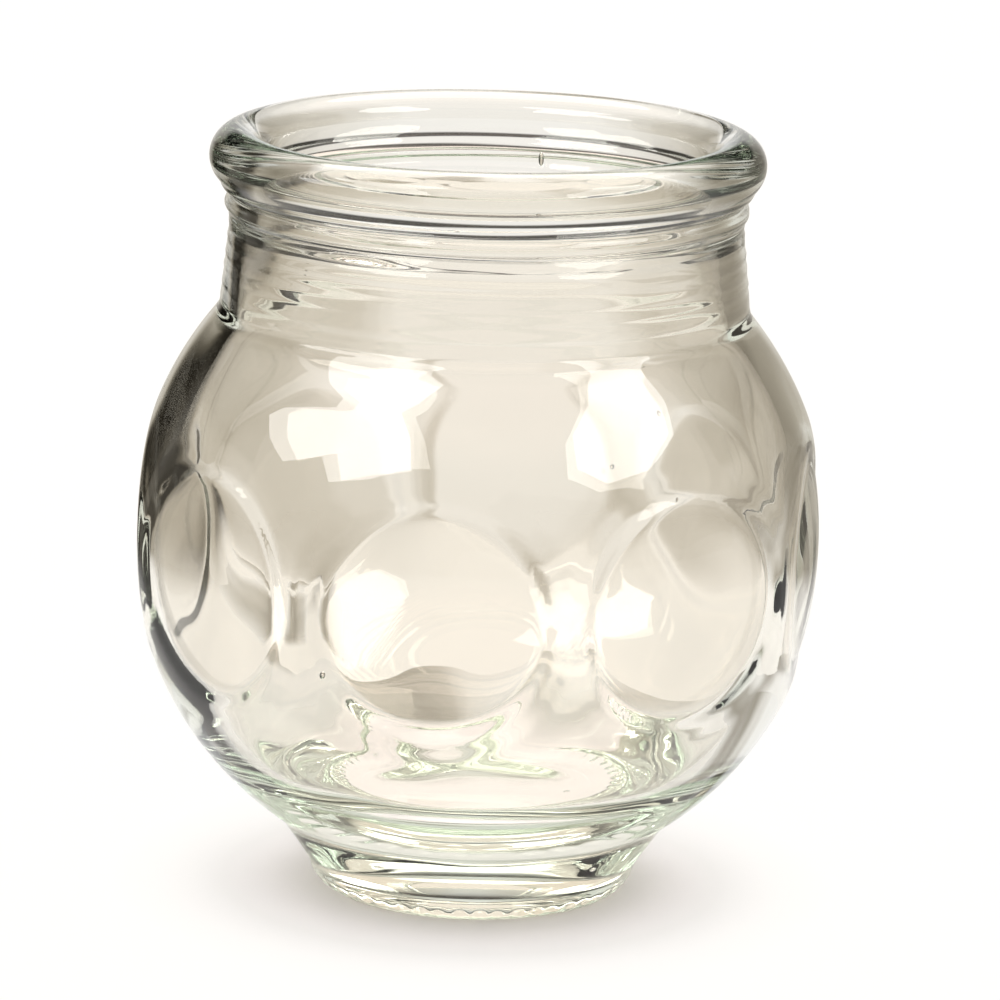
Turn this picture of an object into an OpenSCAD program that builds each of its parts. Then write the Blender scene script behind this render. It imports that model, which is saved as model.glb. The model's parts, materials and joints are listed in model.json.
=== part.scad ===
// Fire cup: a cupping glass blown as one piece of clear glass, standing on its foot with the mouth up.
// Millimetres, +Z up. The origin is the centre of the foot, on the surface that the glass stands on.
// One of the pressed panels round the body faces -Y.

/* [Overall] */
// Height from the resting ring to the crest of the rim
cup_h = 80; // [76:0.5:90]

/* [Rim] */
// Outer radius of the rolled rim
rim_r = 28.6; // [27:0.1:31]
// Radius of the rim's round section
rim_bead_r = 3; // [2:0.1:3.6]
// Radius of the mouth's straight bore
mouth_r = 22.8; // [20:0.1:23.6]
// Depth of the straight bore below the crest of the rim
mouth_depth = 10; // [6:0.5:13]

/* [Neck] */
// Outer radius of the neck below its rings
neck_r = 26.5; // [25:0.1:28]
// Wall of the neck below the mouth's bore
neck_wall = 2.2; // [1.6:0.1:3]
// Height over which the inside widens from the bore to the neck
throat_h = 3.5; // [1:0.5:5]
// How much wider the neck is where it meets the body
neck_flare = 0.9; // [0.2:0.1:2]
// Height over which the neck widens
neck_flare_h = 8.5; // [4:0.5:10]

/* [Neck rings] */
// How far the upper ring stands out from the neck
upper_ring_out = 1.05; // [0.4:0.05:1.6]
// Radius of the upper ring's round section
upper_ring_r = 1.4; // [1:0.1:2]
// Depth of the upper ring's middle below the crest of the rim
upper_ring_drop = 5.1; // [4:0.1:6]
// How far the lower ring stands out from the neck
lower_ring_out = 0.45; // [0.2:0.05:1]
// Radius of the lower ring's round section
lower_ring_r = 1.2; // [0.6:0.1:1.6]
// Depth of the lower ring's middle below the crest of the rim
lower_ring_drop = 7.7; // [6.5:0.1:9]

/* [Body] */
// Outer radius of the round body
globe_r = 36.4; // [34:0.1:40]
// Height of the round body's lowest point, inside the foot
globe_lift = 1.3; // [0.5:0.1:3]
// Wall of the round body at its middle
globe_wall = 3; // [2.2:0.1:4]

/* [Pressed panels] */
// Number of panels round the body
panel_count = 8; // [6:1:10]
// How far a panel's edge runs past the middle between neighbours, so that they meet at a crest
panel_overlap = 0.7; // [0.5:0.1:2]
// Width of the bevel round a panel's sunken face
panel_bevel = 4; // [2:0.1:6]
// Depth of the face's centre below the round body
panel_depth = 0.9; // [0.5:0.05:1.4]
// Radius of the face's own crown, a little flatter than the body
panel_crown_r = 39; // [37:1:80]
// Angle that the panels face below level
panel_tilt = 2; // [0:0.5:6]

/* [Base] */
// Height of the inner floor's lowest point
floor_z = 12; // [8:0.5:18]
// Radius of the inner floor's slight dish
floor_dish_r = 100; // [60:10:300]
// Radius of the foot at the top of its heel
foot_r = 17.2; // [15:0.1:19]
// Radius of the heel's round edge
heel_r = 2.8; // [1.5:0.1:3.5]
// Angle from upright at which the foot widens towards the body
foot_flare_angle = 35; // [20:1:45]
// Radius of the hollow under the foot
kick_r = 12; // [8:0.5:13]
// Height of the hollow under the foot
kick_h = 1; // [0.4:0.1:2]

/* [Hidden] */
$fn = 128;
// How far a cutting tool runs past the faces that it cuts
overcut = 1;
// Tint and opacity of the clear glass, which is a little green
glass_tint = [0.84, 0.90, 0.83];
glass_alpha = 0.55;

// The round body's centre stands its own radius above its lowest point
globe_z = globe_lift + globe_r;

// The rim's round section stands on the ring through its centre
rim_centre_r = rim_r - rim_bead_r;
rim_centre_z = cup_h - rim_bead_r;

// The neck leaves the body where the widened neck's radius meets the round body
shoulder_r = neck_r + neck_flare;
shoulder_z = globe_z + sqrt(globe_r ^ 2 - shoulder_r ^ 2);
flare_h = min(neck_flare_h, rim_centre_z - shoulder_z);

// Inside of the wall
neck_inner_r = neck_r - neck_wall;
cavity_r = globe_r - globe_wall;
bore_bottom_z = cup_h - mouth_depth;
// The mouth's cut clears the rim, and the top of the round body where the neck is short
bore_top_z = max(cup_h, globe_z + globe_r) + overcut;

// Neighbouring panels run into each other, each a little past the middle between them
panel_edge_r = globe_r * sin(180 / panel_count) + panel_overlap;
panel_face_r = panel_edge_r - panel_bevel;

// A panel's bevel runs from the edge of its face to the panel's edge on the round body
face_top = globe_r - panel_depth;
face_edge_h = face_top - panel_crown_r + sqrt(panel_crown_r ^ 2 - panel_face_r ^ 2);
panel_edge_h = sqrt(globe_r ^ 2 - panel_edge_r ^ 2);
bevel_slope = (panel_edge_h - face_edge_h) / (panel_edge_r - panel_face_r);

// The hollow under the foot is part of a large sphere
kick_sphere_r = (kick_r ^ 2 + kick_h ^ 2) / (2 * kick_h);

// The foot widens from the top of its heel until its slanted side has run into the round body
foot_slope = tan(foot_flare_angle);
foot_drop = globe_z - heel_r;
foot_a = foot_slope ^ 2 + 1;
foot_b = foot_drop - foot_slope * foot_r;
foot_c = foot_r ^ 2 + foot_drop ^ 2 - globe_r ^ 2;
foot_flare_h = (foot_b - sqrt(foot_b ^ 2 - foot_a * foot_c)) / foot_a + overcut;

// A ring of round section about the Z axis
module round_ring(centre_r, section_r, z) {
  translate([0, 0, z])
    rotate_extrude()
      translate([centre_r, 0])
        circle(r = section_r);
}

// The heel's round edge, then a foot that widens upward into the body
module foot() {
  cylinder(h = heel_r, r = foot_r - heel_r);
  round_ring(foot_r - heel_r, heel_r, heel_r);
  translate([0, 0, heel_r])
    cylinder(h = foot_flare_h, r1 = foot_r, r2 = foot_r + foot_flare_h * foot_slope);
}

// The neck, wider at its root, with two rings under the rolled rim
module neck_and_rim() {
  translate([0, 0, shoulder_z])
    cylinder(h = flare_h, r1 = shoulder_r, r2 = neck_r);
  translate([0, 0, globe_z])
    cylinder(h = rim_centre_z - globe_z, r = neck_r);
  round_ring(neck_r + lower_ring_out - lower_ring_r, lower_ring_r, cup_h - lower_ring_drop);
  round_ring(neck_r + upper_ring_out - upper_ring_r, upper_ring_r, cup_h - upper_ring_drop);
  round_ring(rim_centre_r, rim_bead_r, rim_centre_z);
}

// What one panel takes off the round body, about +Z from the body's centre:
// everything above its bevel and its slightly crowned face
module panel_cut() {
  inner_r = panel_face_r - overcut;
  inner_h = face_edge_h - bevel_slope * overcut;
  outer_r = panel_edge_r + overcut;
  outer_h = panel_edge_h + bevel_slope * overcut;
  top_h = globe_r + overcut;
  difference() {
    rotate_extrude()
      polygon([[0, inner_h], [inner_r, inner_h], [outer_r, outer_h], [outer_r, top_h], [0, top_h]]);
    translate([0, 0, face_top - panel_crown_r])
      sphere(r = panel_crown_r);
  }
}

// The round body with its first panels pressed in, one after the other round it
module pressed_body(panels) {
  if (panels == 0)
    translate([0, 0, globe_z])
      sphere(r = globe_r);
  else
    difference() {
      pressed_body(panels - 1);
      translate([0, 0, globe_z])
        rotate([90 + panel_tilt, 0, panels * 360 / panel_count])
          panel_cut();
    }
}

// The inside: the mouth's bore, the throat, the neck, and the body over a dished floor
module cavity() {
  translate([0, 0, bore_bottom_z])
    cylinder(h = bore_top_z - bore_bottom_z, r = mouth_r);
  translate([0, 0, bore_bottom_z - throat_h])
    cylinder(h = throat_h, r1 = neck_inner_r, r2 = mouth_r);
  translate([0, 0, globe_z])
    cylinder(h = bore_bottom_z - throat_h - globe_z, r = neck_inner_r);
  intersection() {
    translate([0, 0, globe_z])
      sphere(r = cavity_r);
    translate([0, 0, floor_z + floor_dish_r])
      sphere(r = floor_dish_r);
  }
}

// The hollow under the foot
module kick() {
  translate([0, 0, kick_h - kick_sphere_r])
    sphere(r = kick_sphere_r);
}

// The whole glass, one blown piece
module glass_cup() {
  color(glass_tint, glass_alpha)
    difference() {
      union() {
        pressed_body(panel_count);
        foot();
        neck_and_rim();
      }
      cavity();
      kick();
    }
}

glass_cup();
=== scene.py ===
"""Cupping glass: one piece of clear blown glass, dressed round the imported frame.

Profile sizes are millimetres in the glass's own frame (+Z up, foot on z = 0); meshes and the stage are
in metres.
"""
import json
import math

import bpy
import numpy as np
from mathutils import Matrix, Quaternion, Vector


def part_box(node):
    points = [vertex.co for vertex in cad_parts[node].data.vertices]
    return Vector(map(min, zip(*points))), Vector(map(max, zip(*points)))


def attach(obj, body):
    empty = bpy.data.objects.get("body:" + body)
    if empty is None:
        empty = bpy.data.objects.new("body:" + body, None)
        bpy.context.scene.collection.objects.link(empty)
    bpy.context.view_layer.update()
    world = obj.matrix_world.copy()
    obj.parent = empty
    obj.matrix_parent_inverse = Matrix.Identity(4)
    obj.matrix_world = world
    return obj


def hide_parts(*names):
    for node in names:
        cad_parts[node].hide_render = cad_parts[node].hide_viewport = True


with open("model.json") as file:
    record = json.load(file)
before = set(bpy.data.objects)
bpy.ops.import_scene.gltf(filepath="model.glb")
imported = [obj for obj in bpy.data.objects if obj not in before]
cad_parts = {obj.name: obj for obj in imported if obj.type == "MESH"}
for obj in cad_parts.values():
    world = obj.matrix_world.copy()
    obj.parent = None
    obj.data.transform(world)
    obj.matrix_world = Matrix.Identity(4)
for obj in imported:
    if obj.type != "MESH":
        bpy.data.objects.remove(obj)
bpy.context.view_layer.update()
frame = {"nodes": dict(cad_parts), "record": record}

MM = 0.001
NODE = "glass_cup"


# Sizes

# Parts of the height between which the round body and the rim are widest
BODY_FROM, BODY_TO = 0.3, 0.6
RIM_FROM = 0.9


def cad_widest(low_z, high_z):
    """The largest radius, in mm, of the solid's corners between two heights in mm."""
    points = np.array([v.co for v in frame["nodes"][NODE].data.vertices]) / MM
    between = points[(points[:, 2] >= low_z) & (points[:, 2] <= high_z)]
    return float(np.hypot(between[:, 0], between[:, 1]).max())


mounts = {m["name"]: m for m in frame["record"]["mounts"]}
cup_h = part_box(NODE)[1].z / MM
mouth_r = mounts["mouth_bore"]["dims"]["r_mm"]
globe_r = cad_widest(BODY_FROM * cup_h, BODY_TO * cup_h)
rim_r = cad_widest(RIM_FROM * cup_h, cup_h)

rim_bead_r = 3.0
mouth_depth = 10.0
throat_h = 3.5
neck_r = 26.5
neck_wall = 2.2
neck_flare = 0.9
neck_flare_h = 8.5
upper_ring_out, upper_ring_r, upper_ring_drop = 1.05, 1.4, 5.1
lower_ring_out, lower_ring_r, lower_ring_drop = 0.45, 1.2, 7.7
globe_lift = 1.3
globe_wall = 3.0
panel_count = 8
panel_overlap = 0.7
panel_bevel = 3.3
panel_depth = 0.9
panel_crown_r = 39.0
panel_tilt = 2.0
floor_z = 12.0
floor_dish_r = 100.0
foot_r = 17.2
heel_r = 2.8
foot_flare_angle = 35.0
kick_r = 12.0
kick_h = 1.0

globe_z = globe_lift + globe_r
cavity_r = globe_r - globe_wall
neck_inner_r = neck_r - neck_wall
shoulder_r = neck_r + neck_flare
shoulder_z = globe_z + math.sqrt(globe_r ** 2 - shoulder_r ** 2)
bore_bottom_z = cup_h - mouth_depth
rim_centre = (rim_r - rim_bead_r, cup_h - rim_bead_r)
upper_ring = (neck_r + upper_ring_out - upper_ring_r, cup_h - upper_ring_drop)
lower_ring = (neck_r + lower_ring_out - lower_ring_r, cup_h - lower_ring_drop)


# Profile of the glass, from the middle of the underside over the rim to the middle of the inner floor

# Each stretch's step between rings, and how far fire and flow have rounded its corners, in mm
STRETCHES = {
    "kick": (1.5, 0.5),
    "rest": (0.4, 0.3),
    "heel": (0.22, 0.3),
    "foot": (0.4, 0.9),
    "globe": (0.5, 0.7),
    "neck_flare": (0.4, 0.10),
    "neck": (0.25, 0.10),
    "neck_rings": (0.2, 0.10),
    "rim": (0.3, 0.12),
    "bore": (0.5, 0.3),
    "throat": (0.5, 3.2),
    "neck_inside": (0.8, 3.2),
    "inside": (1.1, 1.6),
    "floor": (1.1, 1.6),
}
# Step at which the profile is traced before rings are chosen from it, and the fewest points of a section
TRACE_MM = 0.05
FEWEST_POINTS = 4
# Length over which a stretch's rounding passes into the next one's, and the widths that a rounding reaches
WIDTH_BLEND_MM = 2.0
REACH_WIDTHS = 3


def line(a, b):
    """A straight stretch between two points: its curve over 0 to 1, and its length."""
    def at(t):
        return a[0] + (b[0] - a[0]) * t, a[1] + (b[1] - a[1]) * t
    return at, math.dist(a, b)


def arc(centre, radius, start, end):
    """A round stretch from one angle to another, in degrees from +r towards +z: its curve and length."""
    def at(t):
        angle = math.radians(start + (end - start) * t)
        return centre[0] + radius * math.cos(angle), centre[1] + radius * math.sin(angle)
    return at, radius * abs(math.radians(end - start))


def angle_at(centre, point):
    return math.degrees(math.atan2(point[1] - centre[1], point[0] - centre[0]))


def outer_meet(c1, r1, c2, r2):
    """The meeting point of two circles that lies further from the axis."""
    d = math.dist(c1, c2)
    along = (d * d + r1 * r1 - r2 * r2) / (2 * d)
    across = math.sqrt(r1 * r1 - along * along)
    ux, uz = (c2[0] - c1[0]) / d, (c2[1] - c1[1]) / d
    base = (c1[0] + ux * along, c1[1] + uz * along)
    return max((base[0] + s * across * uz, base[1] - s * across * ux) for s in (1, -1))


def ring_leaves_neck(centre, radius):
    """Half the angle over which a ring's round section stands out from the neck."""
    return math.degrees(math.acos((neck_r - centre[0]) / radius))


def flare_meets_globe():
    """Where the foot's slanted side runs into the round body."""
    slope = math.tan(math.radians(foot_flare_angle))
    drop = globe_z - heel_r
    a = slope ** 2 + 1
    b = drop - slope * foot_r
    c = foot_r ** 2 + drop ** 2 - globe_r ** 2
    rise = (b - math.sqrt(b * b - a * c)) / a
    return foot_r + rise * slope, heel_r + rise


def sections():
    """(stretch, curve, length) for each section of the profile, in order."""
    kick_sphere_r = (kick_r ** 2 + kick_h ** 2) / (2 * kick_h)
    kick_centre = (0.0, kick_h - kick_sphere_r)
    heel_centre = (foot_r - heel_r, heel_r)
    globe_centre = (0.0, globe_z)
    flare_top = flare_meets_globe()
    neck_foot = (shoulder_r, shoulder_z)
    flare_end = (neck_r, shoulder_z + neck_flare_h)
    low_half = ring_leaves_neck(lower_ring, lower_ring_r)
    low_rise = lower_ring_r * math.sin(math.radians(low_half))
    high_half = ring_leaves_neck(upper_ring, upper_ring_r)
    high_rise = upper_ring_r * math.sin(math.radians(high_half))
    bead_meet = outer_meet(upper_ring, upper_ring_r, rim_centre, rim_bead_r)
    bore_top_z = rim_centre[1] + math.sqrt(rim_bead_r ** 2 - (rim_centre[0] - mouth_r) ** 2)
    bore_top = (mouth_r, bore_top_z)
    bore_end = (mouth_r, bore_bottom_z)
    throat_end = (neck_inner_r, bore_bottom_z - throat_h)
    cavity_top = (neck_inner_r, globe_z + math.sqrt(cavity_r ** 2 - neck_inner_r ** 2))
    dish_centre = (0.0, floor_z + floor_dish_r)
    gap = dish_centre[1] - globe_z
    down = (floor_dish_r ** 2 - cavity_r ** 2 - gap ** 2) / (2 * gap)
    dish_edge = (math.sqrt(cavity_r ** 2 - down ** 2), globe_z - down)
    return [
        ("kick", *arc(kick_centre, kick_sphere_r, 90, angle_at(kick_centre, (kick_r, 0)))),
        ("rest", *line((kick_r, 0), (heel_centre[0], 0))),
        ("heel", *arc(heel_centre, heel_r, -90, 0)),
        ("foot", *line((foot_r, heel_r), flare_top)),
        ("globe", *arc(globe_centre, globe_r, angle_at(globe_centre, flare_top),
                       angle_at(globe_centre, neck_foot))),
        ("neck_flare", *line(neck_foot, flare_end)),
        ("neck", *line(flare_end, (neck_r, lower_ring[1] - low_rise))),
        ("neck_rings", *arc(lower_ring, lower_ring_r, -low_half, low_half)),
        ("neck_rings", *line((neck_r, lower_ring[1] + low_rise), (neck_r, upper_ring[1] - high_rise))),
        ("neck_rings", *arc(upper_ring, upper_ring_r, -high_half, angle_at(upper_ring, bead_meet))),
        ("rim", *arc(rim_centre, rim_bead_r, angle_at(rim_centre, bead_meet),
                     angle_at(rim_centre, bore_top))),
        ("bore", *line(bore_top, bore_end)),
        ("throat", *line(bore_end, throat_end)),
        ("neck_inside", *line(throat_end, cavity_top)),
        ("inside", *arc(globe_centre, cavity_r, angle_at(globe_centre, cavity_top),
                        angle_at(globe_centre, dish_edge))),
        ("floor", *arc(dish_centre, floor_dish_r, angle_at(dish_centre, dish_edge), -90)),
    ]


def round_corners(trace, widths):
    """Each point moves to the weighted mean of its neighbours within about its stretch's width."""
    mirrored = np.concatenate([trace[:0:-1] * (-1, 1), trace, trace[-2::-1] * (-1, 1)])
    first = len(trace) - 1
    # A width that changes along the trace changes gradually, so that no kink forms where stretches join
    blend = np.hanning(2 * round(WIDTH_BLEND_MM / TRACE_MM) + 1)
    padded = np.pad(widths, len(blend) // 2, mode="edge")
    widths = np.convolve(padded, blend / blend.sum(), mode="valid")
    out = np.empty_like(trace)
    for i, width in enumerate(widths):
        reach = round(REACH_WIDTHS * width / TRACE_MM)
        offsets = np.arange(-reach, reach + 1)
        weights = np.exp(-0.5 * (offsets * TRACE_MM / width) ** 2)
        out[i] = weights @ mirrored[first + i + offsets] / weights.sum()
    out[0, 0] = out[-1, 0] = 0.0
    return out


def profile():
    """Rings of the glass as rows of (r, z), with the name of each ring's stretch."""
    trace, names = [], []
    for name, curve, length in sections():
        count = max(FEWEST_POINTS, round(length / TRACE_MM))
        trace += [curve(i / count) for i in range(count)]
        names += [name] * count
    trace.append((0.0, floor_z))
    names.append("floor")
    steps, widths = zip(*(STRETCHES[name] for name in names))
    soft = round_corners(np.array(trace), np.array(widths))
    keep, run = [0], 0.0
    for i in range(1, len(soft) - 1):
        run += math.dist(soft[i], soft[i - 1])
        if run >= steps[i]:
            keep.append(i)
            run = 0.0
    keep.append(len(soft) - 1)
    return soft[keep], [names[i] for i in keep]


# Relief on the surface of revolution

# Rounding of a panel's corners, as parts of its bevel's width, and of the crest between panels in mm
FACE_CORNER = 0.10
EDGE_CORNER = 0.16
CREST_MM = 0.05
# The crest is rounded in full where the panels beside it are sunk this far together
CREST_BLEND_MM = 0.2
# The bevel is steeper beside the face: over this part of its width it makes this share of the depth
STEEP_PART = 0.36
STEEP_SHARE = 0.5
STEEP_CORNER = 2 * FACE_CORNER
# Angle past a panel's edge over which the last of its sinking fades out
EDGE_FADE_DEG = 6

# The inner wall stands into the cavity behind each panel, in full up to the first angle from its middle
INNER_BULGE_MM = 0.35
INNER_BULGE_DEG = (9.0, 24.0)

# Flow marks of blown glass: (height in mm, waves round the glass, waves per span of height, phase in turns)
FLOW_SPAN_MM = 100
FLOW_OUTSIDE = [(0.030, 5, 1.6, 0.10), (0.016, 11, 3.1, 0.45), (0.010, 3, 5.3, 0.70)]
FLOW_INSIDE = [(0.085, 3, 1.9, 0.30), (0.050, 7, 2.7, 0.05), (0.026, 13, 4.6, 0.55), (0.018, 5, 8.2, 0.80)]
# Turning marks of the mould on the neck: the same, with many waves in height and nearly none round it
NECK_LINES = [(0.030, 1, 62, 0.0), (0.024, 2, 97, 0.3), (0.018, 1, 151, 0.6)]
# Share of the outside's flow marks that is left on the rim, which fire has polished
RIM_FLOW = 0.5

# Stipple on the heel: shallow uneven dents that keep the resting ring from scuffing
STIPPLE_COUNT = 52
STIPPLE_MM = 0.24
STIPPLE_Z = (0.15, 1.7)
# How far a dent strays from its place and from its depth, and how sharply it sinks to its middle
STIPPLE_STRAY = 0.15
STIPPLE_UNEVEN = 0.4
STIPPLE_SHARPNESS = 1.5
# Beats that make a dent's own wobble, between -1 and 1, from its number
WOBBLE_BEATS = (12.9898, 4.1414)


def smooth(t):
    t = np.clip(t, 0, 1)
    return t * t * (3 - 2 * t)


def soft_max(a, b, width):
    return (a + b + np.sqrt((a - b) ** 2 + width ** 2)) / 2


def turn_of(points):
    """Angle round the axis, in radians from +X."""
    return np.arctan2(points[..., 1], points[..., 0])


def panel_angles(points):
    """Angles in degrees, seen from the round body's centre, from the middles of the two nearest panels."""
    d = points - np.array([0, 0, globe_z])
    d = d / np.linalg.norm(d, axis=-1, keepdims=True)
    pitch = 2 * math.pi / panel_count
    turn = turn_of(d) + math.pi / 2
    turn = np.abs((turn + pitch / 2) % pitch - pitch / 2)
    level = np.hypot(d[..., 0], d[..., 1]) * math.cos(math.radians(panel_tilt))
    drop = d[..., 2] * math.sin(math.radians(panel_tilt))
    nearest = level * np.cos(turn) - drop
    second = level * np.cos(pitch - turn) - drop
    return [np.degrees(np.arccos(np.clip(cosine, -1, 1))) for cosine in (nearest, second)]


def panel_sink(points):
    """How far, in mm, the pressed panels lie below the round body."""
    edge_r = globe_r * math.sin(math.pi / panel_count) + panel_overlap
    edge = math.degrees(math.asin(edge_r / globe_r))
    face = math.degrees(math.asin((edge_r - panel_bevel) / globe_r))
    crown_centre = globe_r - panel_depth - panel_crown_r
    sinks = []
    for angle in panel_angles(points):
        a = np.radians(np.minimum(angle, edge))
        face_at = crown_centre * np.cos(a) + np.sqrt(panel_crown_r ** 2 - (crown_centre * np.sin(a)) ** 2)
        rise = 1 - (edge - angle) / (edge - face)
        wide = soft_max(1 - soft_max(rise, 0, FACE_CORNER), 0, EDGE_CORNER)
        steep = soft_max(1 - soft_max(rise / STEEP_PART, 0, STEEP_CORNER), 0, EDGE_CORNER)
        share = STEEP_SHARE * steep + (1 - STEEP_SHARE) * wide
        fade = smooth((edge + EDGE_FADE_DEG - angle) / EDGE_FADE_DEG)
        sinks.append((globe_r - face_at) * share * fade)
    return soft_max(*sinks, CREST_MM * smooth(sum(sinks) / CREST_BLEND_MM))


def inner_bulge(points):
    """The inner wall follows the pressed panels, softer and shallower."""
    start, end = INNER_BULGE_DEG
    return INNER_BULGE_MM * (1 - smooth((panel_angles(points)[0] - start) / (end - start)))


def waves(points, marks):
    """Height of such marks, in mm."""
    turn = turn_of(points)
    return sum(
        size * np.sin(around * turn + 2 * math.pi * (up * points[..., 2] / FLOW_SPAN_MM + phase))
        for size, around, up, phase in marks
    )


def heel_stipple(points):
    """Depth of the dents on the heel, in mm."""
    turn = turn_of(points) / (2 * math.pi) * STIPPLE_COUNT
    index = np.floor(turn)
    wobble = sum(np.sin(index * beat) for beat in WOBBLE_BEATS) / len(WOBBLE_BEATS)
    across = np.cos(math.pi * (turn - index - 0.5 - STIPPLE_STRAY * wobble))
    low, high = STIPPLE_Z
    height = (points[..., 2] - low) / (high - low)
    band = np.where((height > 0) & (height < 1), np.sin(math.pi * np.clip(height, 0, 1)), 0)
    deep = STIPPLE_MM * (1 - STIPPLE_UNEVEN + STIPPLE_UNEVEN * wobble)
    return deep * np.clip(across, 0, 1) ** STIPPLE_SHARPNESS * band


def relief(name, points):
    """Movement along the outward normal, in mm, for points of one ring."""
    if name == "heel":
        return -heel_stipple(points)
    if name == "globe":
        return waves(points, FLOW_OUTSIDE) - panel_sink(points)
    if name in ("neck_flare", "neck", "neck_rings"):
        return waves(points, FLOW_OUTSIDE) + waves(points, NECK_LINES)
    if name == "rim":
        return RIM_FLOW * waves(points, FLOW_OUTSIDE)
    if name in ("throat", "neck_inside"):
        return waves(points, FLOW_INSIDE)
    if name == "inside":
        return waves(points, FLOW_INSIDE) + inner_bulge(points)
    return 0.0


# The glass mesh

# Corners in a ring: fine on the stretches with small relief, coarse on the others
COARSE, FINE = 216, 432
FINE_STRETCHES = ("rest", "heel", "globe")
# A ring narrower than this is a single point on the axis
POLE_MM = 1e-6

# Seeds, small bubbles left in the wall: (radius from the axis, degrees from -Y, height, half width,
# half height)
SEEDS = [(24.7, 174, 73.0, 0.30, 0.75), (32.1, 31, 51.5, 0.22, 0.30), (33.6, -19, 30.0, 0.26, 0.36),
         (34.0, 152, 45.0, 0.30, 0.42), (12.5, 64, 6.5, 0.34, 0.28), (9.0, -140, 8.4, 0.28, 0.24),
         (25.4, -118, 64.0, 0.22, 0.46)]
SEED_SIDES = 16
SEED_RINGS = 11


def glass_rings(rows, names):
    """Rings of points in mm, with relief, coarse or fine by stretch, and single points at the poles."""
    tangent = np.gradient(rows, axis=0)
    tangent /= np.linalg.norm(tangent, axis=1, keepdims=True)
    normals = np.stack([tangent[:, 1], -tangent[:, 0]], axis=1)
    rings = []
    for (r, z), (nr, nz), name in zip(rows, normals, names):
        if r < POLE_MM:
            rings.append(np.array([[0, 0, z]]))
            continue
        turn = np.arange(FINE if name in FINE_STRETCHES else COARSE)
        turn = turn * 2 * math.pi / len(turn)
        round_z = np.stack([np.cos(turn), np.sin(turn)], axis=1)
        points = np.column_stack([r * round_z, np.full(len(turn), z)])
        outward = np.column_stack([nr * round_z, np.full(len(turn), nz)])
        points = points + outward * np.broadcast_to(relief(name, points), len(turn))[:, None]
        rings.append(points)
    return rings


def seed_rings(away, azimuth, z, half_width, half_height):
    """Rings of one bubble, from its top down, which turns its surface inward."""
    angle = math.radians(azimuth)
    middle = np.array([away * math.sin(angle), -away * math.cos(angle), z])
    turn = np.arange(SEED_SIDES) * 2 * math.pi / SEED_SIDES
    rings = []
    for tilt in np.linspace(90, -90, SEED_RINGS):
        r = half_width * math.cos(math.radians(tilt))
        up = half_height * math.sin(math.radians(tilt))
        circle = np.stack([r * np.cos(turn), r * np.sin(turn), np.full(SEED_SIDES, up)], axis=1)
        rings.append(middle + (circle if abs(tilt) < 90 else circle[:1] * (0, 0, 1)))
    return rings


def strip(a, b):
    """Faces between two rings given as lists of corner numbers, of equal, double or half the count."""
    n, m = len(a), len(b)
    if n == 1:
        return [(a[0], b[(i + 1) % m], b[i]) for i in range(m)]
    if m == 1:
        return [(a[i], a[(i + 1) % n], b[0]) for i in range(n)]
    if n == m:
        return [(a[i], a[(i + 1) % n], b[(i + 1) % n], b[i]) for i in range(n)]
    if m == 2 * n:
        faces = []
        for i in range(n):
            j, k = (i + 1) % n, 2 * i
            faces += [(a[i], b[k + 1], b[k]), (a[i], a[j], b[k + 1]), (a[j], b[(k + 2) % m], b[k + 1])]
        return faces
    return [tuple(reversed(face)) for face in strip(b, a)]


def glass_mesh():
    """The whole wall as one closed mesh, with the seeds as closed shells inside it."""
    rings, breaks = glass_rings(*profile()), set()
    for seed in SEEDS:
        breaks.add(len(rings))
        rings += seed_rings(*seed)
    starts = np.cumsum([0] + [len(ring) for ring in rings])
    numbers = [list(range(s, e)) for s, e in zip(starts, starts[1:])]
    faces = []
    for i in range(1, len(numbers)):
        if i not in breaks:
            faces += strip(numbers[i - 1], numbers[i])
    mesh = bpy.data.meshes.new("glass_cup_blown")
    mesh.from_pydata((np.concatenate(rings) * MM).tolist(), [], faces)
    mesh.shade_smooth()
    mesh.validate()
    return mesh


# Shader nodes

def feed(tree, socket, source):
    """Gives an input another node's output, or else a number or colour."""
    if isinstance(source, bpy.types.NodeSocket):
        tree.links.new(source, socket)
    else:
        socket.default_value = source


def add_node(tree, kind, inputs=None):
    """A new node, with what its inputs are fed by name or number."""
    node = tree.nodes.new(kind)
    for key, source in (inputs or {}).items():
        feed(tree, node.inputs[key], source)
    return node


def maths(tree, operation, *terms):
    """Output of a maths node whose terms are numbers or other nodes' outputs."""
    node = tree.nodes.new("ShaderNodeMath")
    node.operation = operation
    for socket, term in zip(node.inputs, terms):
        feed(tree, socket, term)
    return node.outputs["Value"]


def ease(tree, value, start, end, highest=1.0):
    """Output that rises smoothly from 0 to its highest while the value goes from start to end."""
    limits = {"Value": value, "From Min": start, "From Max": end, "To Max": highest}
    node = add_node(tree, "ShaderNodeMapRange", limits)
    node.interpolation_type = "SMOOTHSTEP"
    return node.outputs["Result"]


def shade_ramp(tree, along, stops):
    """Colour ramp node over a value from 0 to 1, from (position, colour) pairs."""
    node = add_node(tree, "ShaderNodeValToRGB", {"Fac": along})
    for position, _ in stops[1:-1]:
        node.color_ramp.elements.new(position)
    for stop, (position, colour) in zip(node.color_ramp.elements, stops):
        stop.position = position
        stop.color = colour
    return node


def new_material(name):
    """A material with nodes, and its node tree."""
    material = bpy.data.materials.new(name)
    material.use_nodes = True
    return material, material.node_tree


def show(tree, surface):
    """Makes a shader's output the surface of its material."""
    feed(tree, tree.nodes["Material Output"].inputs["Surface"], surface)


# The glass piece

GLASS_TINT = (0.965, 0.932, 0.88, 1)
GLASS_IOR = 1.52
DEPTH_TINT = (0.604, 0.717, 0.613, 1)
DEPTH_DENSITY = 16.0
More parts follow.
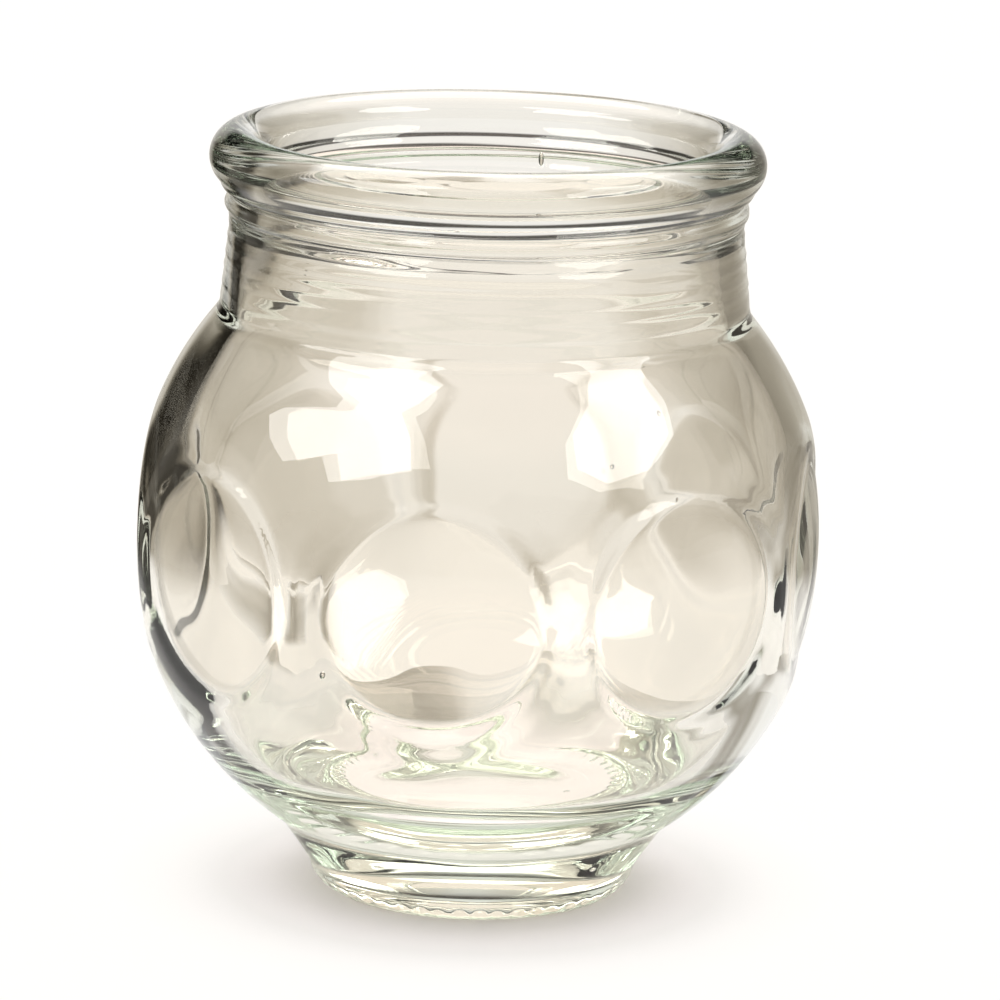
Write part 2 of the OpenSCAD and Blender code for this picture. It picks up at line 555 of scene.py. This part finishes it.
# A thin uneven haze: its noise's scale and detail, the noise over which it grows, and its most roughness
HAZE_SCALE = 90.0
HAZE_DETAIL = 4.0
HAZE_FROM, HAZE_TO = 0.45, 0.85
HAZE_MOST = 0.05


def clear_glass():
    """Soda-lime glass: slightly warm, greener the further light travels in it, with a faint haze."""
    material, tree = new_material("clear_glass")
    shader = tree.nodes["Principled BSDF"]
    shader.inputs["Base Color"].default_value = GLASS_TINT
    shader.inputs["Transmission Weight"].default_value = 1.0
    shader.inputs["IOR"].default_value = GLASS_IOR
    place = add_node(tree, "ShaderNodeTexCoord")
    film = add_node(tree, "ShaderNodeTexNoise",
                    {"Vector": place.outputs["Object"], "Scale": HAZE_SCALE, "Detail": HAZE_DETAIL})
    haze = add_node(tree, "ShaderNodeMapRange",
                    {"Value": film.outputs["Fac"], "From Min": HAZE_FROM, "From Max": HAZE_TO,
                     "To Max": HAZE_MOST})
    feed(tree, shader.inputs["Roughness"], haze.outputs["Result"])
    depth = add_node(tree, "ShaderNodeVolumeAbsorption")
    depth.inputs["Color"].default_value = DEPTH_TINT
    depth.inputs["Density"].default_value = DEPTH_DENSITY
    feed(tree, tree.nodes["Material Output"].inputs["Volume"], depth.outputs["Volume"])
    return material


glass = bpy.data.objects.new("glass_cup_blown", glass_mesh())
bpy.context.scene.collection.objects.link(glass)
glass.data.materials.append(clear_glass())
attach(glass, "root")
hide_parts(NODE)


# Camera at the photograph's viewing angle

PHOTO_PX = 1000
VIEW_AZIMUTH, VIEW_ELEVATION, VIEW_ROLL = 7.4, 13.2, 1.44
VIEW_DISTANCE = 600 * MM
VIEW_FOCAL_PX = 5768
AIM_PX = (479.8, 509.25)
SENSOR_WIDTH = 36.0
CLIP_START = 0.01

aim = Vector((0, 0, cup_h / 2 * MM))
view_turn, view_rise = math.radians(VIEW_AZIMUTH), math.radians(VIEW_ELEVATION)
view_back = Vector((math.sin(view_turn) * math.cos(view_rise),
                    -math.cos(view_turn) * math.cos(view_rise),
                    math.sin(view_rise)))
facing = view_back.to_track_quat("Z", "Y") @ Quaternion((0, 0, 1), math.radians(VIEW_ROLL))
# Width of a pixel at the aim, and the sideways shift that puts the aim on its own pixel
px = VIEW_DISTANCE / VIEW_FOCAL_PX
offset = facing @ Vector(((PHOTO_PX / 2 - AIM_PX[0]) * px, (AIM_PX[1] - PHOTO_PX / 2) * px, 0))

camera = bpy.data.objects.new("camera", bpy.data.cameras.new("camera"))
bpy.context.scene.collection.objects.link(camera)
camera.data.sensor_width = SENSOR_WIDTH
camera.data.lens = VIEW_FOCAL_PX / PHOTO_PX * camera.data.sensor_width
camera.data.clip_start = CLIP_START
camera.location = aim + view_back * VIEW_DISTANCE + offset
camera.rotation_mode = "QUATERNION"
camera.rotation_quaternion = facing
bpy.context.scene.camera = camera


def toward(azimuth, elevation):
    """Unit vector from the glass, with azimuth in degrees to the right of the camera."""
    a, e = view_turn + math.radians(azimuth), math.radians(elevation)
    return Vector((math.sin(a) * math.cos(e), -math.cos(a) * math.cos(e), math.sin(e)))


# Stage floor, which keeps the glass's shadow near it and is white further out

FLOOR_RADIUS = 4.0
FLOOR_SIDES = 96
FLOOR_COLOUR = (0.88, 0.875, 0.865, 1)
FLOOR_ROUGHNESS = 0.7
FLOOR_SPECULAR = 0.1
# Painted light on the floor that only glass shows: a bright painted pool under the foot, a thinner share of
# it round the foot, then white: (mm from the axis, colour, share of it)
PAINTED_FLOOR_LIGHT = [(0, (1.4, 1.3, 1.33), 1.0), (16, (1.4, 1.3, 1.33), 1.0), (26, (1.0, 0.97, 0.94), 1.0),
              (38, (1.05, 1.03, 1.0), 0.75), (60, (1.05, 1.03, 1.0), 0.75),
              (95, (1.05, 1.03, 1.0), 0.95), (120, (1.05, 1.03, 1.0), 0.95)]
# Where the shadow that the camera sees starts and ends to fade, in mm from the axis, and how far it does
SHADOW_FADE = (15, 33)
SHADOW_FILL = 0.94


def pale_floor():
    """Matt floor, brightened past the shadow for the camera, and with a painted pool of light and white
    where glass shows it.
    """
    material, tree = new_material("pale_floor")
    shader = tree.nodes["Principled BSDF"]
    shader.inputs["Base Color"].default_value = FLOOR_COLOUR
    shader.inputs["Roughness"].default_value = FLOOR_ROUGHNESS
    shader.inputs["Specular IOR Level"].default_value = FLOOR_SPECULAR
    place = add_node(tree, "ShaderNodeTexCoord")
    length = add_node(tree, "ShaderNodeVectorMath", {0: place.outputs["Object"]})
    length.operation = "LENGTH"
    away = length.outputs["Value"]
    last_mm = PAINTED_FLOOR_LIGHT[-1][0]
    stops = [(away_mm / last_mm, (*colour, share)) for away_mm, colour, share in PAINTED_FLOOR_LIGHT]
    # Painted light that glass shows on the floor, by distance from the axis
    painted_light = shade_ramp(tree, maths(tree, "DIVIDE", away, last_mm * MM), stops)
    path = add_node(tree, "ShaderNodeLightPath")
    through_glass = maths(tree, "MULTIPLY", path.outputs["Is Transmission Ray"], painted_light.outputs["Alpha"])
    start_mm, end_mm = SHADOW_FADE
    past_shadow = ease(tree, away, start_mm * MM, end_mm * MM, SHADOW_FILL)
    share = maths(tree, "MULTIPLY_ADD", path.outputs["Is Camera Ray"], past_shadow, through_glass)
    white = add_node(tree, "ShaderNodeEmission", {"Color": painted_light.outputs["Color"], "Strength": 1.0})
    mixed = add_node(tree, "ShaderNodeMixShader",
                     {"Fac": share, 1: shader.outputs["BSDF"], 2: white.outputs["Emission"]})
    show(tree, mixed.outputs["Shader"])
    return material


def floor_disc():
    mesh = bpy.data.meshes.new("floor")
    corners = [(FLOOR_RADIUS * math.cos(a), FLOOR_RADIUS * math.sin(a), 0)
               for a in np.linspace(0, 2 * math.pi, FLOOR_SIDES, endpoint=False)]
    mesh.from_pydata(corners, [], [tuple(range(len(corners)))])
    mesh.materials.append(pale_floor())
    floor = bpy.data.objects.new("floor", mesh)
    bpy.context.scene.collection.objects.link(floor)


# Windows, and cards that glow with painted light and shade of the room and the floor; only the glass sees
# them

ROOM_WHITE = (1.0, 0.985, 0.96, 1)
DAYLIGHT = (1.0, 0.99, 0.97, 1)
WINDOW_STRENGTH = 6.0
WINDOW_DISTANCE = 0.5
# Corners of the two windows: (azimuth to the right of the camera, elevation), in degrees
WINDOW_LEFT = [(-84, 48), (-60, 56), (-37, 61), (-21, 59), (-30, 51), (-36, 47), (-28, 40), (-24, 29),
               (-38, 25), (-52, 22), (-58, 28), (-72, 22), (-82, 25), (-88, 29), (-84, 33), (-64, 41),
               (-64, 44), (-75, 45)]
WINDOW_RIGHT = [(58, 54), (66, 55), (86, 48), (84, 38), (78, 30), (62, 24), (44, 24), (34, 30), (36, 40),
                (50, 48)]

CARD_STEPS = 96
CARD_LIFT = 0.3 * MM
# Elevation of the upper edge of a card that stands up, and of one that only lies on the floor
STANDING_TOP = 45
LYING_TOP = 0.1
# Painted light and shade of each card, as its brightness: (degrees to the right of straight behind, level)
SHADES_ROUND = [(-180, 0.7), (180, 0.7)]
# Painted shade on the floor behind and beside the glass, darkest behind on the left
FLOOR_PAINTED_SHADE = [(-95, 0.95), (-86, 0.45), (-66, 0.3), (-56, 0.42), (-50, 0.35), (-46, 0.03), (-28, 0.03),
              (-25, 0.2), (-22, 0.48), (-16, 0.6), (-9, 0.7), (-4, 0.95), (4, 0.95), (9, 0.7), (15, 0.58),
              (24, 0.5), (38, 0.4), (52, 0.4), (62, 0.6), (80, 0.95)]
# Painted shade of the room behind the glass, darkest behind on the left
ROOM_PAINTED_SHADE = [(-95, 0.9), (-80, 0.45), (-60, 0.35), (-52, 0.5), (-47, 0.2), (-42, 0.02), (-28, 0.02),
               (-25, 0.12), (-22, 0.42), (-18, 0.66), (-7, 0.9), (-3, 1.0), (3, 1.0), (7, 0.9), (16, 0.65),
               (24, 0.4), (38, 0.3), (52, 0.35), (70, 0.7), (90, 0.95)]
# Painted shadow on the floor close round the foot, behind it and to its right
NEAR_PAINTED_SHADOW = [(-75, 0.97), (-22, 0.95), (-17, 0.5), (-8, 0.42), (-4, 0.55), (-1, 0.85), (4, 0.97),
               (14, 0.95), (22, 0.7), (34, 0.97), (66, 0.95), (72, 0.3), (80, 0.3), (86, 0.95)]
# Painted shade on the floor behind the glass, a little to the left
MID_PAINTED_SHADE = [(-24, 0.97), (-20, 0.6), (-17, 0.4), (-13, 0.4), (-10, 0.97)]
# Darker painted shades are warmer: what is left of red, green and blue at half the brightness
SHADE_WARM = (1.0, 0.93, 0.80)
# How a card's painted brightness changes up its upright half: (part of its height, share)
EVEN = [(0.0, 1.0), (1.0, 1.0)]
# A dark painted band part way up the upright card
PAINTED_DARK_BAND = [(0.0, 1.0), (0.29, 0.95), (0.35, 0.03), (0.54, 0.03), (0.66, 0.7), (1.0, 0.9)]


def glow(name, colour, strength):
    """Plain emitting material."""
    material, tree = new_material(name)
    tree.nodes.remove(tree.nodes["Principled BSDF"])
    light = add_node(tree, "ShaderNodeEmission", {"Color": colour, "Strength": strength})
    show(tree, light.outputs["Emission"])
    return material


def hang(name, mesh):
    """A stage piece that only shows in the glass, mirrored or seen through it."""
    piece = bpy.data.objects.new(name, mesh)
    bpy.context.scene.collection.objects.link(piece)
    piece.visible_camera = False
    piece.visible_diffuse = False
    piece.visible_shadow = False


def window(name, outline):
    """A bright opening, given by the (azimuth, elevation) of its corners as seen from the glass."""
    rays = [toward(*corner) for corner in outline]
    middle = sum(rays, Vector()).normalized()
    corners = [aim + ray * (WINDOW_DISTANCE / ray.dot(middle)) for ray in rays]
    mesh = bpy.data.meshes.new(name)
    mesh.from_pydata(corners, [], [tuple(range(len(corners)))])
    mesh.materials.append(glow(name, DAYLIGHT, WINDOW_STRENGTH))
    hang(name, mesh)


def card_mesh(name, first, last, rows):
    """A sheet from one azimuth to another over three rows of (distance, height).

    Its UV runs from 0 to 1 round it, and from -1 at the first row over 0 at the second to 1 at the third.
    """
    corners, faces = [], []
    for i in range(CARD_STEPS + 1):
        ray = toward(180 - (first + (last - first) * i / CARD_STEPS), 0)
        corners += [(ray.x * out, ray.y * out, up) for out, up in rows]
    for i in range(CARD_STEPS):
        for k in (3 * i, 3 * i + 1):
            faces.append((k, k + 3, k + 4, k + 1))
    mesh = bpy.data.meshes.new(name)
    mesh.from_pydata(corners, [], faces)
    across = mesh.uv_layers.new(name="across")
    for loop in mesh.loops:
        across.data[loop.index].uv = (loop.vertex_index // 3 / CARD_STEPS, loop.vertex_index % 3 - 1)
    return mesh


def card_surface(name, shades, rise, soft_near, soft_top):
    """Painted light and shade that follow the shades round the card and the rise up it, and fade out at
    both edges.
    """
    material = glow(name, ROOM_WHITE, 1.0)
    tree = material.node_tree
    place = add_node(tree, "ShaderNodeUVMap")
    split = add_node(tree, "ShaderNodeSeparateXYZ", {"Vector": place.outputs["UV"]})
    first, last = shades[0][0], shades[-1][0]
    stops = [((degrees - first) / (last - first),
              [level * warm ** (2 * (1 - level)) for warm in SHADE_WARM] + [1])
             for degrees, level in shades]
    colour = shade_ramp(tree, split.outputs["X"], stops)
    up = split.outputs["Y"]
    strength = shade_ramp(tree, up, [(part, (level, level, level, 1)) for part, level in rise])
    light = tree.nodes["Emission"]
    feed(tree, light.inputs["Color"], colour.outputs["Color"])
    feed(tree, light.inputs["Strength"], strength.outputs["Color"])
    below_top = ease(tree, up, 1.0, 1.0 - soft_top)
    past_near = ease(tree, up, -1.0, soft_near - 1.0)
    shown = maths(tree, "MULTIPLY", below_top, past_near)
    clear = add_node(tree, "ShaderNodeBsdfTransparent")
    sheet = add_node(tree, "ShaderNodeMixShader",
                     {"Fac": shown, 1: clear.outputs["BSDF"], 2: light.outputs["Emission"]})
    show(tree, sheet.outputs["Shader"])
    return material


def card(name, shades, near, distance, soft_near, top=LYING_TOP, soft_top=0.5, rise=EVEN, layer=1):
    """A card that lies on the floor from one distance to another, in metres, then stands up.

    top is its upper edge's elevation. The soft parts are the shares of its lying and upright halves over
    which it fades out, and a card of a higher layer lies over the others.
    """
    lift = CARD_LIFT * layer
    height = distance * math.tan(math.radians(top))
    rows = [(near, lift), (distance, lift), (distance, height)]
    mesh = card_mesh(name, shades[0][0], shades[-1][0], rows)
    mesh.materials.append(card_surface(name, shades, rise, soft_near, soft_top))
    hang(name, mesh)


# Lamp and world

LAMP_SIZE = 0.7
LAMP_RADIANCE = 2.0
LAMP_COLOUR = (1.0, 0.985, 0.96)
LAMP_AZIMUTH, LAMP_ELEVATION = 180, 62
LAMP_DISTANCE = 0.9
# Level of the room's light on the floor
FLOOR_LIGHT = 0.98
# The lit ceiling as glass shows it: its colour, and the heights of a direction over which it sets in
CEILING_LIGHT = (1.3, 1.12, 1.04, 1)
CEILING_RISE = (0.42, 0.80)


def overhead_lamp():
    """Disc lamp behind and above the glass, which throws its shadow towards the camera."""
    lamp = bpy.data.lights.new("overhead", "AREA")
    lamp.shape = "DISK"
    lamp.size = LAMP_SIZE
    # A disc's power is pi times its area times its radiance
    lamp.energy = LAMP_RADIANCE * math.pi * math.pi * lamp.size ** 2 / 4
    lamp.color = LAMP_COLOUR
    holder = bpy.data.objects.new("overhead", lamp)
    bpy.context.scene.collection.objects.link(holder)
    away = toward(LAMP_AZIMUTH, LAMP_ELEVATION)
    holder.location = aim + away * LAMP_DISTANCE
    holder.rotation_mode = "QUATERNION"
    holder.rotation_quaternion = away.to_track_quat("Z", "Y")


def studio_world():
    """White room with a lit ceiling for the camera and the glass, and a softer level to light the floor."""
    world = bpy.data.worlds.new("studio")
    world.use_nodes = True
    tree = world.node_tree
    rays = add_node(tree, "ShaderNodeLightPath")
    seen = rays.outputs["Is Camera Ray"]
    for kind in ("Is Glossy Ray", "Is Transmission Ray"):
        seen = maths(tree, "MAXIMUM", seen, rays.outputs[kind])
    place = add_node(tree, "ShaderNodeTexCoord")
    split = add_node(tree, "ShaderNodeSeparateXYZ", {"Vector": place.outputs["Generated"]})
    colour = tree.nodes.new("ShaderNodeMix")
    colour.data_type = "RGBA"
    feed(tree, colour.inputs["Factor"], ease(tree, split.outputs["Z"], *CEILING_RISE, highest=seen))
    feed(tree, colour.inputs["A"], ROOM_WHITE)
    feed(tree, colour.inputs["B"], CEILING_LIGHT)
    level = add_node(tree, "ShaderNodeMapRange", {"Value": seen, "To Min": FLOOR_LIGHT, "To Max": 1.0})
    sky = tree.nodes["Background"]
    feed(tree, sky.inputs["Color"], colour.outputs["Result"])
    feed(tree, sky.inputs["Strength"], level.outputs["Result"])
    bpy.context.scene.world = world


floor_disc()
window("window_left", WINDOW_LEFT)
window("window_right", WINDOW_RIGHT)
card("card_round", SHADES_ROUND, near=0.77, distance=0.78, soft_near=0.01, top=STANDING_TOP, soft_top=0.7)
# Painted shade on the floor behind and beside the glass
card("floor_shade_card", FLOOR_PAINTED_SHADE, near=0.11, distance=0.70, soft_near=0.10)
# Painted shade of the room behind, with a dark band part way up
card("room_shade_card", ROOM_PAINTED_SHADE, near=0.69, distance=0.70, soft_near=0.01, top=STANDING_TOP, soft_top=0.3,
     rise=PAINTED_DARK_BAND)
# A painted shadow on the floor close round the foot
card("near_shadow_card", NEAR_PAINTED_SHADOW, near=0.020, distance=0.064, soft_near=0.3)
# A painted band of shade on the floor behind, a little to the left
card("mid_shade_card", MID_PAINTED_SHADE, near=0.084, distance=0.120, soft_near=0.25, layer=2)
overhead_lamp()
studio_world()


# Render settings

# How often light is followed through the glass, and how often where it is mirrored
LIGHT_BOUNCES = 40
MIRROR_BOUNCES = 14

scene = bpy.context.scene
scene.view_settings.view_transform = "Standard"
scene.cycles.max_bounces = LIGHT_BOUNCES
scene.cycles.transmission_bounces = LIGHT_BOUNCES
scene.cycles.glossy_bounces = MIRROR_BOUNCES
